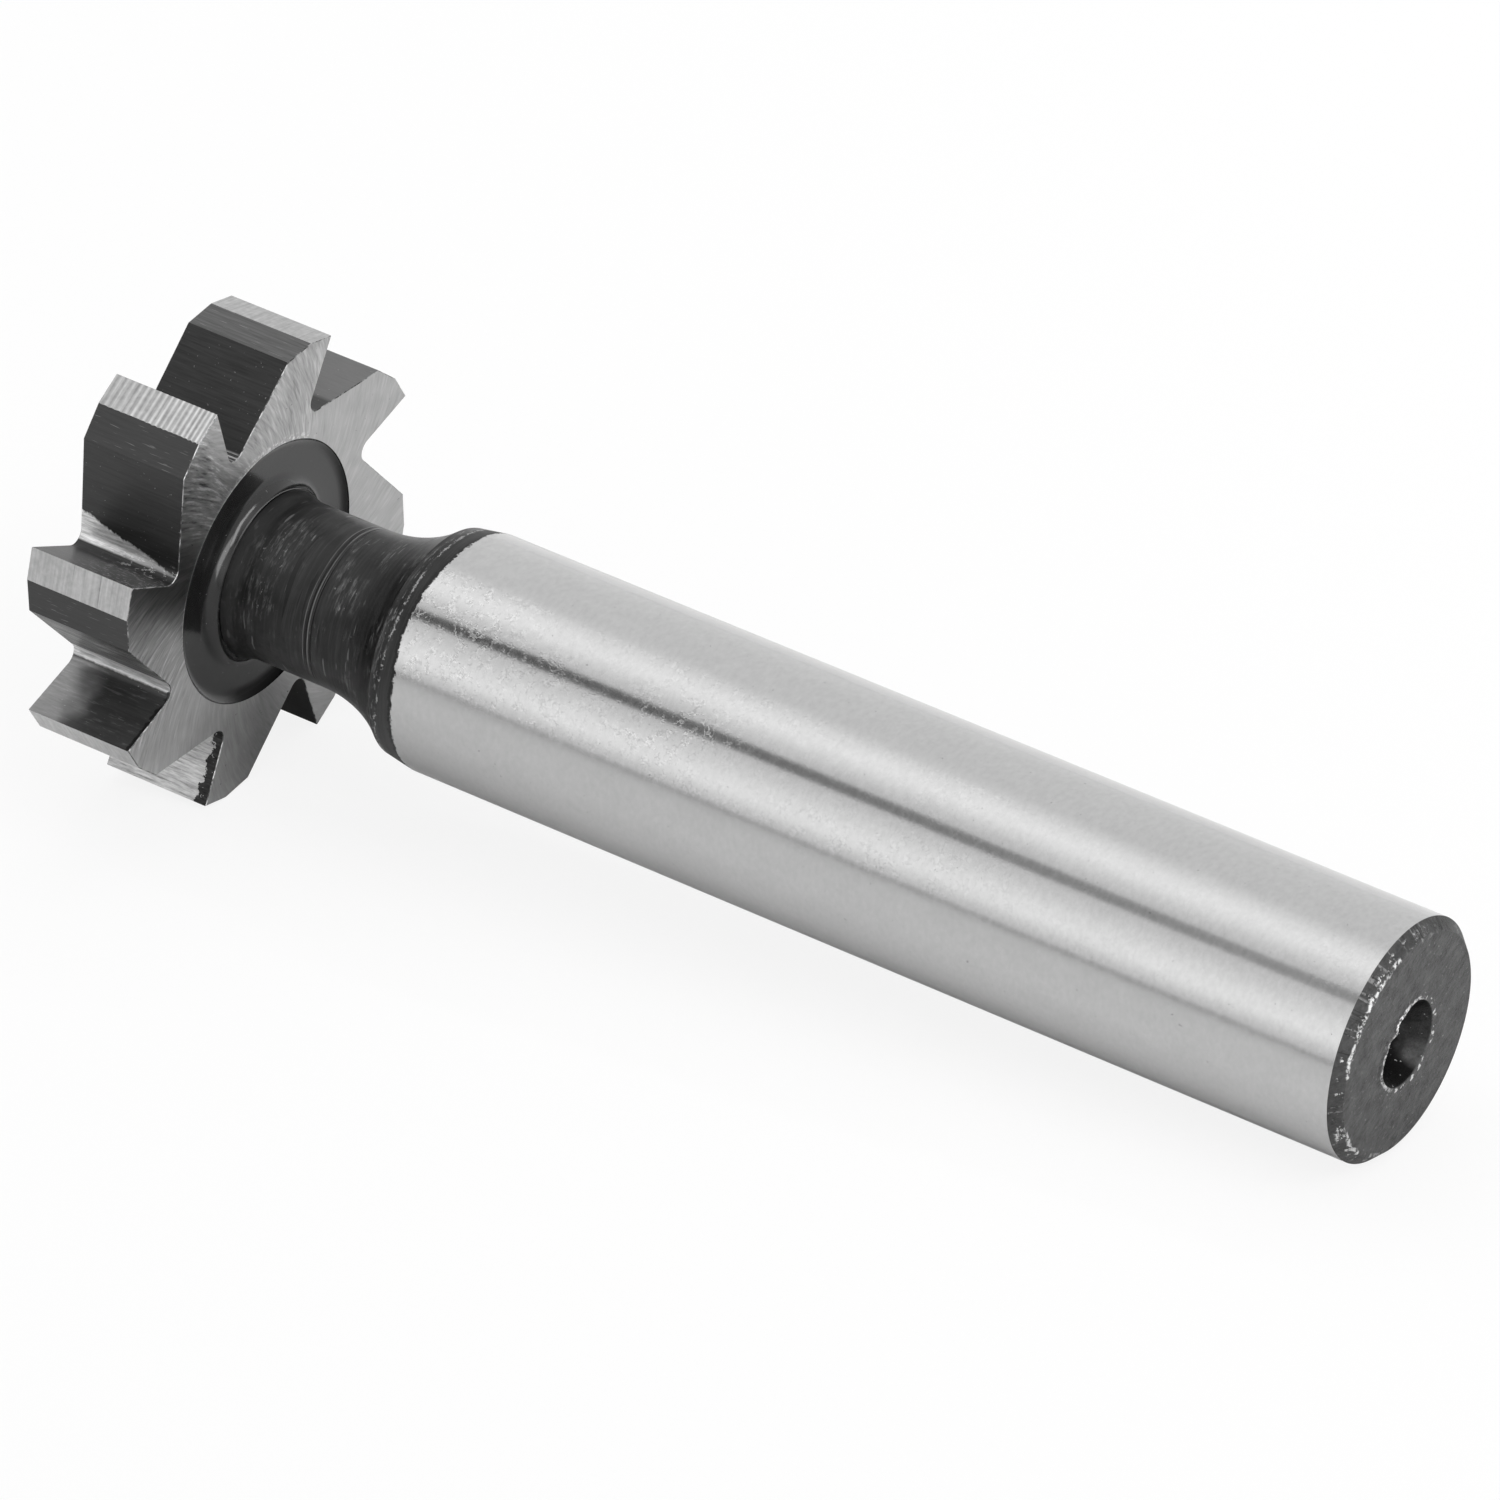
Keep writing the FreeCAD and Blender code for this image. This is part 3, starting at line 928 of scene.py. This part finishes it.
def blend(share_, first, second):
    """first where share_ is 0 and second where it is 1."""
    return first + (second - first) * share_


# %% [markdown]
# ## The shank and the black skin
# The shank was ground on centres, so fine marks run round it and break up the
# edges of what it mirrors, and pale and dark veins, partly real marks and partly
# painted reflection, fray the dark line it mirrors. The wheel stopped just past
# the flare and left a ragged line to the black skin, which keeps the rings of the
# lathe. An image could be wrapped round it, but noise that is stretched round the
# axis draws the rings at any size, and one ragged value moves every edge in the
# same way.

# %% The shank and the neck
pen, at = draw_finish("skin_and_shank")

# Two ragged lines: where the wheel stopped, and where the cut of the flare ran out.
rag = at.noise(4.0, 2, 0.6) - 0.5
fine_rag = at.noise(13.0, 2, 0.6, shift=29.0) - 0.5
ragged_x = at.x + rag * 0.30 + fine_rag * 0.22
edge_x = ragged_x + 0.16 * at.near_tooth(4.0, 5.0, 0.3)
run_x = ragged_x + 0.34 * at.near_tooth(5.7, 7.4, 0.5)
steel = edge_x.rise(14.37, 14.43)

# The ground steel, and veins along the dark line it mirrors: partly real marks,
# partly painted reflection that frays the line.
grind = at.noise((10.0, 4.0, 4.0), 2, 0.6)
mottle = at.noise((4.5, 3.0, 3.0), 3, 0.6, shift=7.0)
cloud = at.noise((0.35, 0.9, 0.9), 2, 0.5, shift=3.0)
vein_patches = at.noise((0.12, 0.3, 0.3), 1, 0.5, shift=21.0).rise(0.35, 0.65)
vein_patches = vein_patches.high(1 - at.x.rise(17.0, 22.0))
marks_and_painted_reflection = at.near_tooth(3.88, 5.10, 0.05) * (0.2 + 0.8 * vein_patches)
marks_and_painted_reflection = marks_and_painted_reflection * (1 - 0.7 * at.x.rise(32.0, 46.0))
marks_and_painted_reflection = marks_and_painted_reflection * at.noise(2.6, 2, 0.6, shift=79.0).rise(0.42, 0.60)
pale_mark_and_painted_reflection = at.vein(3.6, 71.0) * marks_and_painted_reflection
dark_mark_and_painted_reflection = at.vein(3.2, 77.0) * marks_and_painted_reflection
nicks = at.noise(4.0, 3, 0.6, shift=13.0).rise(0.71, 0.74)

# The lathe's rings, the brushed patches and the scratches in the skin.
rings = at.noise((14.0, 0.22, 0.22), 3, 0.65)
deep_rings = at.noise((5.0, 0.10, 0.10), 2, 0.5, shift=17.0)
lines = at.noise((6.0, 0.35, 0.35), 3, 0.7, shift=37.0)
bare = at.noise((0.55, 0.5, 0.5), 3, 0.6, shift=31.0).rise(0.47, 0.62)
brushed = at.noise((7.0, 1.3, 1.3), 3, 0.75, shift=11.0)
dark_rings = at.noise((4.0, 0.25, 0.25), 2, 0.6, shift=83.0).rise(0.60, 0.66)
long_scratch = at.noise((5.0, 0.7, 0.7), 1, 0.5, shift=87.0).rise(0.70, 0.74)
flecks = at.noise(5.0, 2, 0.6, shift=5.0).rise(0.68, 0.72)
smudge = at.noise(0.8, 2, 0.5, shift=53.0)

# Two furrows round the neck, the torn ridge at the runout, and dark lines beside it.
runout = run_x.rise(13.72, 13.82)
patchy = at.noise((0.5, 0.30, 0.30), 2, 0.5, shift=43.0).rise(0.36, 0.60)
cut = at.x + 0.25 * (at.noise((0.2, 0.25, 0.25), 1, 0.5, shift=47.0) - 0.5)
furrow = cut.within(9.02, 9.12, 0.02).high(cut.within(9.28, 9.33, 0.02)) * patchy
crest = cut.within(9.15, 9.20, 0.02).high(cut.within(8.94, 8.97, 0.02)) * patchy
torn = at.noise((3.0, 2.0, 2.0), 3, 0.7, shift=41.0).rise(0.44, 0.52)
ridge = run_x.within(13.65, 13.72, 0.02) * torn
beside = at.noise((8.0, 2.4, 2.4), 3, 0.7, shift=89.0).rise(0.56, 0.64)
ridge = ridge.high(0.40 * run_x.within(13.34, 13.58, 0.06) * beside)
rim_dark = edge_x.within(14.24, 14.36, 0.03).high(run_x.within(13.46, 13.58, 0.03))
runout_tone = 0.017 + 0.016 * at.near_tooth(5.5, 7.4, 0.4) + 0.05 * (lines - 0.5)

# The skin's tone, the steel's tone, and what stands out from each.
skin = 0.010 + 0.014 * (smudge - 0.5) + 0.07 * (lines - 0.46).high(0.0)
skin = skin + bare * (0.45 * (brushed - 0.50).high(0.0) + 0.12 * flecks) + 0.10 * long_scratch
# Painted shade: the skin darkens towards the neck's foot, where it meets the recess. It is also
# darker in the furrows and dark rings.
skin = skin * at.x.rise(4.7, 6.6).high(0.25) * (1 - 0.9 * furrow.high(dark_rings))
black = blend(runout, skin, runout_tone.high(0.004)) * (1 - 0.7 * rim_dark)
black = (black + 0.27 * ridge + 0.12 * crest).high(0.002)
bright = 0.50 + 0.12 * (mottle - 0.5) + 0.04 * (cloud - 0.5) - 0.18 * nicks
bright = bright - 0.09 * dark_mark_and_painted_reflection + 0.12 * pale_mark_and_painted_reflection
satin = 0.0006 * grind + 0.0010 * mottle + 0.0015 * pale_mark_and_painted_reflection
scored = 0.004 * rings + 0.006 * deep_rings + 0.004 * mottle + 0.006 * bare * brushed
scored = scored - 0.02 * furrow
set_finish(
    pen,
    blend(steel, scored, satin),
    Base_Color=blend(steel, black, bright),
    Metallic=steel * (1 - 0.28 * pale_mark_and_painted_reflection),
    Roughness=blend(steel, 0.28 + 0.14 * mottle + 0.15 * runout, 0.12 + 0.05 * mottle),
    IOR=1.35,
)

# %% [markdown]
# ## The recess
# The sunk middle of the head keeps a smooth, glossy black skin. It could be one
# plain black, but a thin pale ring at the neck's foot is a painted highlight, and
# two places that mirror almost nothing are painted darker as shade, both drawn
# by their place.

# %% The recess
pen, at = draw_finish("glossy_recess")
mottle = at.noise(2.0, 3, 0.6)
dust = at.noise(7.0, 1, 0.5, shift=5.0).rise(0.74, 0.78)
upper = at.near_tooth(1.6, 4.3, 0.5)
# A painted highlight: a thin pale ring at the neck's foot, on its upper side.
painted_highlight_ring = at.x.within(5.03, 5.07, 0.02) * upper
# Painted shade: the fillet at the neck's foot and the outer bowl on one side are darkened and made
# to mirror more.
inside = at.x.rise(5.06, 5.12) * (1 - at.far.rise(4.4, 4.6))
painted_shade_bowl = at.near_tooth(7.0, 8.1, 0.2) * at.far.rise(4.9, 5.2) * at.x.rise(4.0, 4.2)
painted_shade = (1 - 0.8 * inside) * (1 - 0.85 * painted_shade_bowl)
set_finish(
    pen,
    0.004 * mottle,
    Base_Color=(0.006 + 0.008 * mottle + 0.1 * dust) * painted_shade + 0.16 * painted_highlight_ring,
    Metallic=painted_shade_bowl.high(0.7 * inside) * 0.9,
    Roughness=0.10 + 0.10 * mottle,
    IOR=1.5,
)

# %% [markdown]
# ## The sawn end
# The far end was only sawn and bevelled, so its skin is rough, and pale metal
# shows where the edges chipped. The chips could be modelled, but they are too
# small to break the outline. Noise cut by thin rings puts them on the edges.

# %% The sawn end
pen, at = draw_finish("sawn_end")
grit = at.noise(6.0, 4, 0.8)
coarse = at.noise(1.4, 3, 0.6, shift=2.0)
face = at.x.rise(shank_end - 0.06, shank_end)
in_hole = (1 - face) * (1 - at.far.rise(1.85, 2.0))
shelf = at.near_tooth(0.15, 0.90, 0.2) * (at.far + 0.5 * (coarse - 0.5)).rise(1.15, 1.65)
# Painted shade in the centre hole, lighter on a shelf and on one side.
deep = in_hole * (1 - 0.9 * shelf) * (1 - 0.45 * at.near_tooth(0.9, 2.2, 0.3))
mouth = hole_mouth
for dent, *where in dents:
    mouth = mouth - dent * at.near_tooth(*where)
round_it = at.spokes(0.0)
crack = abs(at.noise((1.0, 5.0, 5.0), 3, 0.6, shift=8.0, vector=round_it) - 0.5)
notch = (1 - crack.rise(0.006, 0.030)) * (1 - face) * (1 - in_hole)
from_mouth = at.far - mouth + 0.16 * (coarse - 0.5)
torn = at.noise((1.0, 9.0, 9.0), 3, 0.7, shift=4.0, vector=round_it).rise(0.44, 0.56)
broken = at.noise(5.0, 3, 0.7, shift=6.0).rise(0.44, 0.56)
frayed = at.far + 0.35 * (coarse - 0.5)

# Bare metal: the bevel's edge and chips, the burr round the hole, and notches.
stretch = at.noise((1.0, 5.0, 5.0), 2, 0.5, shift=24.0, vector=round_it).rise(0.46, 0.54)
low_side = at.near_tooth(3.3, 7.0, 0.4)
lip = frayed.within(4.43, 4.61, 0.03) * broken * stretch * low_side
chips = at.noise(2.4, 3, 0.7, shift=44.0).rise(0.57, 0.62)
lip = lip.high(0.9 * chips * broken * at.far.within(4.54, 4.84, 0.05) * low_side)
burr = face * broken * at.near_tooth(2.9, 6.7, 0.3)
lip = lip.high(from_mouth.within(-0.05, 0.14, 0.03) * burr)
lip = lip.high(1.5 * from_mouth.within(-0.05, 0.24, 0.03) * burr * at.near_tooth(3.6, 4.5, 0.15))
pale_grit = at.noise(3.5, 2, 0.6, shift=14.0).rise(0.56, 0.62)
other_side = 1 - at.near_tooth(2.9, 6.7, 0.3)
lip = lip.high(from_mouth.within(0.02, 0.26, 0.04) * face * pale_grit * other_side)
scar = from_mouth.within(0.18, 0.42, 0.05) * face * torn * at.near_tooth(3.2, 6.2, 0.4)
lip = lip.high(0.30 * broken * torn * notch)

# The skin's tone, with painted shade darkening the hole, and uneven on the face.
specks = at.noise(6.0, 1, 0.5, shift=9.0).rise(0.71, 0.75)
scored = at.noise((1.0, 7.0, 1.4), 3, 0.7, shift=12.0)
uneven = 2.2 * (grit - 0.5) + 1.3 * (scored - 0.5) + 2.0 * (coarse - 0.5)
tone = blend(face, 0.040, 0.066) * (1 + uneven)
tone = tone * (1 - 0.97 * deep) * (1 - 0.7 * notch.high(scar))
tone = tone * (1 - 0.35 * at.far.rise(4.0, 5.0) * face)
tone = tone + 0.60 * lip + 0.10 * specks * (1 - deep) + 0.25 * in_hole * specks
set_finish(
    pen,
    0.05 * grit + 0.05 * coarse + 0.10 * crack.low(0.05) * (1 - face),
    Base_Color=tone.high(0.004),
    Metallic=(0.7 * lip).high(0.9 * deep),
    Roughness=0.42 + 0.2 * grit,
    IOR=1.4,
)

# %% [markdown]
# ## The ground sides
# A wheel swept over the head's sides and left fans of fine curved lines,
# deeper on some teeth. An image could show them, but noise along bent spokes
# follows the sweep, and its strength can differ from tooth to tooth.

# %% The ground sides
pen, at = draw_finish("ground_side")
swept = at.spokes(-0.085)
fan = at.noise((8.0, 52.0, 52.0), 3, 0.7, vector=swept)
crossed = at.noise((7.0, 60.0, 60.0), 2, 0.6, shift=5.0, vector=at.spokes(-0.12))
wide = at.noise((7.0, 34.0, 34.0), 2, 0.6, shift=9.0, vector=at.spokes(-0.075))
near_a = at.near_tooth(2.9, 4.1, 0.10)
near_b = at.near_tooth(4.1, 5.0, 0.10)
near_c = at.near_tooth(5.0, 6.1, 0.20)
strong = 0.22 + 0.35 * near_a + 0.20 * near_b + 0.45 * near_c
strong = strong + 0.60 * at.near_tooth(4.1, 4.62, 0.08)
flat_fan = at.noise((9.0, 46.0, 46.0), 3, 0.65, shift=13.0, vector=at.spokes(-0.048))
fine = 0.5 * blend(near_b, fan + crossed, 2.0 * flat_fan) - 0.5
wide = blend(near_b, wide, flat_fan)
cuts = wide.rise(0.55, 0.64) - (0.8 - 0.45 * near_b) * (1 - wide.rise(0.34, 0.43))
pits = at.noise((3.1, 4.3, 3.7), 3, 0.65, shift=33.0).rise(0.68, 0.73)
mottle = at.noise(1.2, 2, 0.5)

# The side towards the neck is darker or fairer by tooth, as painted shade and
# sheen, with flecks and one gouge.
back = at.x.rise(2.0, 3.0)
painted_shade_dim = at.near_tooth(4.66, 5.28, 0.22)
# Painted shade on another tooth.
low = at.near_tooth(7.2, 7.9, 0.5)
painted_sheen = 0.14 * at.near_tooth(4.1, 4.65, 0.2) - 0.10 * at.near_tooth(3.0, 4.0, 0.2)
painted_sheen = painted_sheen + 0.20 * at.near_tooth(5.6, 6.6, 0.2) + 0.16 * at.near_tooth(5.95, 6.6, 0.15)
# shade is the painted shade and sheen on the side towards the neck.
shade = 1 - back * (0.58 * painted_shade_dim + 0.52 * low - painted_sheen)
flecked = at.noise(5.0, 3, 0.7, shift=63.0).rise(0.50, 0.60)
burr = (1 - at.far.rise(5.72, 5.92)) * flecked * at.near_tooth(2.9, 4.2, 0.2)
gouge = (at.tooth * (math.tau / teeth) - 0.146 * at.far).within(3.453, 3.461, 0.002)
gouge = gouge * at.far.within(5.9, 8.0, 0.2)
tone = (0.42 + 1.1 * fine * strong + 0.12 * (mottle - 0.5)) * shade
tone = tone + 0.20 * cuts * strong * shade - 0.24 * pits + 0.30 * burr * back + 0.3 * gouge * back
set_finish(
    pen,
    0.002 * fan + 0.003 * wide * strong,
    Base_Color=tone.low(0.85).high(0.03),
    Metallic=1.0,
    Roughness=0.30 + 0.12 * mottle,
)

# %% [markdown]
# ## The broken edges
# Handling chips the thin bevels, and the bare metal in them glints. They could
# share the finish beside them, but their own dark and chipped tone draws the
# teeth's outlines, as it does in the photo.

# %% The broken edges
pen, at = draw_finish("worn_edge")
chipped = at.noise(3.0, 3, 0.65, shift=51.0).rise(0.40, 0.62)
set_finish(
    pen,
    0.01 * at.noise(9.0, 2, 0.6),
    Base_Color=0.04 + 0.34 * chipped,
    Metallic=0.9,
    Roughness=0.40,
)

# %% [markdown]
# ## The lands
# The lands are ground, with fine lines across them, and two carry the wheel's
# grooves. The mesh has those, but they are as fine as the picture's own dots, so
# the tone follows them too. The crowding formula, solved for the groove's number,
# keeps both in step.

# %% The lands
pen, at = draw_finish("ground_land")
lines = at.noise((9.0, 0.4, 0.4), 2, 0.6)
slant = at.noise((5.0, 4.0, 4.0), 2, 0.6, shift=3.0)
dark_lines = at.noise((6.0, 0.15, 0.15), 1, 0.5, shift=23.0).rise(0.62, 0.70)
mottle = at.noise(3.0, 2, 0.5)
second = at.near_tooth(3.9, 4.3)
third = at.near_tooth(4.9, 5.3)
root_of = ((1 + crowding) ** 2 - at.x * (4 * crowding / head_width)).high(0.0) ** 0.5
line_count = (1 + crowding - root_of) * (groove_count / (2 * crowding))
wave = pen.maths("COSINE", line_count * math.tau)
uneven = at.noise((1.6, 0.1, 0.1), 1, 0.5, shift=91.0)
groove_tone = (wave * 0.5 + 0.5) ** 1.5 * (0.45 + 0.55 * at.x.rise(0.5, 3.5))
groove_tone = groove_tone * (0.45 + 1.1 * uneven)
first = at.near_tooth(2.9, 3.3)
tone = 0.47 + 0.32 * (lines - 0.5) + 0.22 * (slant - 0.5) + 0.08 * (mottle - 0.5)
tone = tone - second * (0.25 * (1 - groove_tone) - 0.10) - 0.06 * first
tone = tone - 0.22 * dark_lines * third
set_finish(
    pen,
    0.0015 * lines + 0.001 * slant,
    Base_Color=tone,
    Metallic=1.0,
    Roughness=0.26 + 0.10 * mottle,
)

# %% [markdown]
# ## The second relief
# Behind each land is a greyer cut with fine lines and a few bright scratches. It
# could be part of the land, but its black skin is only half worn off.

# %% The second relief
pen, at = draw_finish("grey_relief")
lines = at.noise((0.5, 13.0, 13.0), 3, 0.65)
scratch = at.noise((1.2, 22.0, 22.0), 1, 0.5, shift=7.0).rise(0.68, 0.74)
first = at.near_tooth(2.9, 3.6)
base = 0.056 + 0.052 * first
set_finish(
    pen,
    0.002 * lines,
    Base_Color=base * (1 + (0.5 + 0.8 * first) * (lines - 0.5)) + 0.10 * scratch,
    Metallic=0.8,
    Roughness=0.30 + 0.10 * lines,
    IOR=1.4,
)

# %% [markdown]
# ## The black gullets
# The gullets and the teeth's backs keep their skin, and some faces were ground
# bare again. The bare patches could be separate faces, but their borders are
# ragged, so masks by tooth and by x draw them, and noise frays their borders.

# %% The black gullets
pen, at = draw_finish("black_gullet")
lines = at.noise((0.5, 11.0, 11.0), 3, 0.65)
short_lines = at.noise((1.2, 9.0, 9.0), 3, 0.7, shift=67.0)
crumbs = at.noise(7.0, 2, 0.6, shift=4.0).rise(0.70, 0.75)
blotch = at.noise(0.8, 2, 0.5, shift=15.0) - 0.5
ragged = at.noise(3.5, 3, 0.7, shift=57.0) - 0.5
front_part = 1 - (at.x + 2.0 * blotch).rise(0.9, 2.3)

# Bare patches, each in the gap between two teeth or on a tooth's own face.
under = (at.tooth + 0.04 * blotch + 0.06 * ragged - 0.045 * at.x).rise(4.735, 4.755)
bc_patch = under * (1 - at.tooth.rise(4.955, 4.975)) * (1 - 0.55 * at.x.rise(1.0, 4.8))
cd_patch = (at.tooth + 0.015 * ragged).within(5.87, 5.985, 0.008) * (1 - 0.2 * at.x.rise(2.0, 4.9))
cd_flank = at.near_tooth(5.42, 5.88, 0.03) * lines.rise(0.50, 0.60)
ab_streak = at.near_tooth(3.90, 3.98, 0.01) * lines.rise(0.45, 0.55)
bare = bc_patch.high(cd_patch).high(0.4 * cd_flank).high(0.5 * ab_streak)
d_face = at.near_tooth(5.995, 6.06, 0.01) * front_part * 0.6
e_face = at.near_tooth(6.86, 7.04, 0.03)
h_flank = at.near_tooth(2.25, 2.75, 0.03)
ground = d_face.high(e_face).high(0.30 * h_flank)

# Burrs, dark strips and flecks along the edges.
burr = e_face * (at.x + 1.1 * ragged).rise(4.40, 4.46)
d_strip = at.near_tooth(5.97, 6.06, 0.01) * (at.x + 0.5 * ragged).rise(4.68, 4.72)
d_lines = at.near_tooth(5.99, 6.06, 0.01) * short_lines.rise(0.55, 0.70)
edge_flecks = at.noise((4.0, 7.0, 7.0), 3, 0.7, shift=61.0).rise(0.55, 0.63)
edge_flecks = edge_flecks * at.near_tooth(4.90, 5.04, 0.02) * at.x.rise(1.0, 3.5)
face_lines = (e_face.high(0.6 * d_face) + 0.2 * h_flank) * (short_lines - 0.5)

# The tones, from the skin up to bare metal.
skin = 0.018 + 0.012 * at.near_tooth(4.30, 4.75, 0.05) + 0.012 * at.near_tooth(5.97, 6.06, 0.01)
tone = blend(ground, skin + 0.04 * (lines - 0.5) + 0.05 * d_lines, 0.38 + 0.9 * face_lines)
tone = blend(bare, tone, 0.70 + 1.5 * (short_lines - 0.5)) + 0.14 * crumbs + 0.25 * edge_flecks
tone = tone * (1 - 0.92 * burr.high(d_strip) * (1 - crumbs))
set_finish(
    pen,
    0.003 * lines + 0.004 * blotch + 0.03 * ragged * burr,
    Base_Color=tone.high(0.004).low(0.9),
    Metallic=ground.high(0.45 * bare),
    Roughness=0.28 + 0.15 * lines,
    IOR=1.4,
)
print("materials", [m.name for m in body.data.materials])

# %% [markdown]
# ## Sizes, and the end
# The dressed cutter must keep the CAD model's box, so how much each side grew is
# printed. The sizes could be compared by eye, but numbers are plainer.

# %% Print the sizes and finish
new_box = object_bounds()
growth = [round((b - a) * 1000, 3) for p, q in zip(cad_box, new_box) for a, b in zip(p, q)]
print("grown by", growth)
